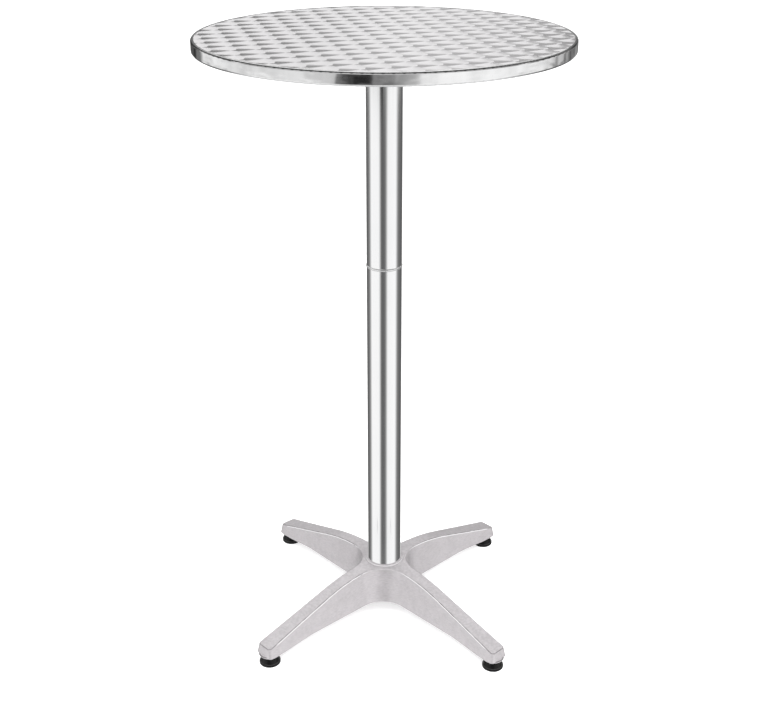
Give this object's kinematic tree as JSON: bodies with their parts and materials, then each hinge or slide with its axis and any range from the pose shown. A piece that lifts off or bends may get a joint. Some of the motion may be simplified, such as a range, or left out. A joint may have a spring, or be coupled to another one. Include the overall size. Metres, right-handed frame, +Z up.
{
  "type": "bar table",
  "caption": "Round metal bar table: swirled sheet top with a polished rim on a screwed two-section pole, star-shaped cast base and screw-in levelling feet.",
  "frame": {"origin": "on the floor, on the pole's axis, under the middle of the base", "axes": "+Z up along the pole; the four legs lie on the diagonals of X and Y; -Y is the picture's front"},
  "size_m": [0.6, 0.5999, 1.05],
  "materials": {
    "rim_metal": "polished",
    "swirl_metal": "circle-swirl brushed",
    "fibreboard": "raw fibreboard",
    "backing_sheet": "matte",
    "die_cast_metal": "as cast",
    "plug_metal": "machined",
    "zinc_steel": "zinc plated",
    "polished_tube": "polished",
    "cast_metal": "satin cast",
    "pad_plastic": "gloss"
  },
  "bodies": {
    "base": {"base_casting": "cast_metal", "base_bolt": "zinc_steel", "base_flat_washer": "zinc_steel", "base_spring_washer": "zinc_steel", "lower_tube": "polished_tube", "lower_tube_foot_plug": "plug_metal", "lower_tube_head_plug": "plug_metal"},
    "column_screw": {"column_stud": "zinc_steel"},
    "upper_column": {"upper_tube": "polished_tube", "upper_tube_head_plug": "plug_metal", "upper_tube_foot_plug": "plug_metal"},
    "top_screw": {"top_stud": "zinc_steel"},
    "table_top": {"top_bracket": "die_cast_metal", "bracket_screws": "zinc_steel", "top_core": "fibreboard", "top_backing": "backing_sheet", "top_skin": "swirl_metal", "top_rim": "rim_metal"},
    "foot_screw_back_right": {"foot_stud_back_right": "zinc_steel"},
    "foot_back_right": {"foot_pad_back_right": "pad_plastic"},
    "foot_screw_back_left": {"foot_stud_back_left": "zinc_steel"},
    "foot_back_left": {"foot_pad_back_left": "pad_plastic"},
    "foot_screw_front_left": {"foot_stud_front_left": "zinc_steel"},
    "foot_front_left": {"foot_pad_front_left": "pad_plastic"},
    "foot_screw_front_right": {"foot_stud_front_right": "zinc_steel"},
    "foot_front_right": {"foot_pad_front_right": "pad_plastic"}
  },
  "joints": [
    {"name": "column_lift", "type": "slide", "parent": "base", "child": "column_screw", "axis": [0, 0, 1], "range_m": [0, 0.02]},
    {"name": "column_turn", "type": "hinge", "parent": "column_screw", "child": "upper_column", "pos_m": [0, 0, 0.6695], "axis": [0, 0, 1], "range_deg": [0, 1800]},
    {"name": "top_lift", "type": "slide", "parent": "upper_column", "child": "top_screw", "axis": [0, 0, 1], "range_m": [0, 0.02]},
    {"name": "top_turn", "type": "hinge", "parent": "top_screw", "child": "table_top", "pos_m": [0, 0, 1.0195], "axis": [0, 0, 1], "range_deg": [0, 1800]},
    {"name": "foot_travel_back_right", "type": "slide", "parent": "base", "child": "foot_screw_back_right", "axis": [0, 0, 1], "range_m": [-0.01, 0]},
    {"name": "foot_turn_back_right", "type": "hinge", "parent": "foot_screw_back_right", "child": "foot_back_right", "pos_m": [0.19375, 0.19375, 0.018], "axis": [0, 0, 1], "range_deg": [-2880, 0]},
    {"name": "foot_travel_back_left", "type": "slide", "parent": "base", "child": "foot_screw_back_left", "axis": [0, 0, 1], "range_m": [-0.01, 0]},
    {"name": "foot_turn_back_left", "type": "hinge", "parent": "foot_screw_back_left", "child": "foot_back_left", "pos_m": [-0.19375, 0.19375, 0.018], "axis": [0, 0, 1], "range_deg": [-2880, 0]},
    {"name": "foot_travel_front_left", "type": "slide", "parent": "base", "child": "foot_screw_front_left", "axis": [0, 0, 1], "range_m": [-0.01, 0]},
    {"name": "foot_turn_front_left", "type": "hinge", "parent": "foot_screw_front_left", "child": "foot_front_left", "pos_m": [-0.19375, -0.19375, 0.018], "axis": [0, 0, 1], "range_deg": [-2880, 0]},
    {"name": "foot_travel_front_right", "type": "slide", "parent": "base", "child": "foot_screw_front_right", "axis": [0, 0, 1], "range_m": [-0.01, 0]},
    {"name": "foot_turn_front_right", "type": "hinge", "parent": "foot_screw_front_right", "child": "foot_front_right", "pos_m": [0.19375, -0.19375, 0.018], "axis": [0, 0, 1], "range_deg": [-2880, 0]}
  ],
  "couplings": [
    {"joint": "column_lift", "follows": "column_turn", "m_per_rad": 0.00063662},
    {"joint": "top_lift", "follows": "top_turn", "m_per_rad": 0.00063662},
    {"joint": "foot_travel_back_right", "follows": "foot_turn_back_right", "m_per_rad": 0.00019894},
    {"joint": "foot_travel_back_left", "follows": "foot_turn_back_left", "m_per_rad": 0.00019894},
    {"joint": "foot_travel_front_left", "follows": "foot_turn_front_left", "m_per_rad": 0.00019894},
    {"joint": "foot_travel_front_right", "follows": "foot_turn_front_right", "m_per_rad": 0.00019894}
  ]
}
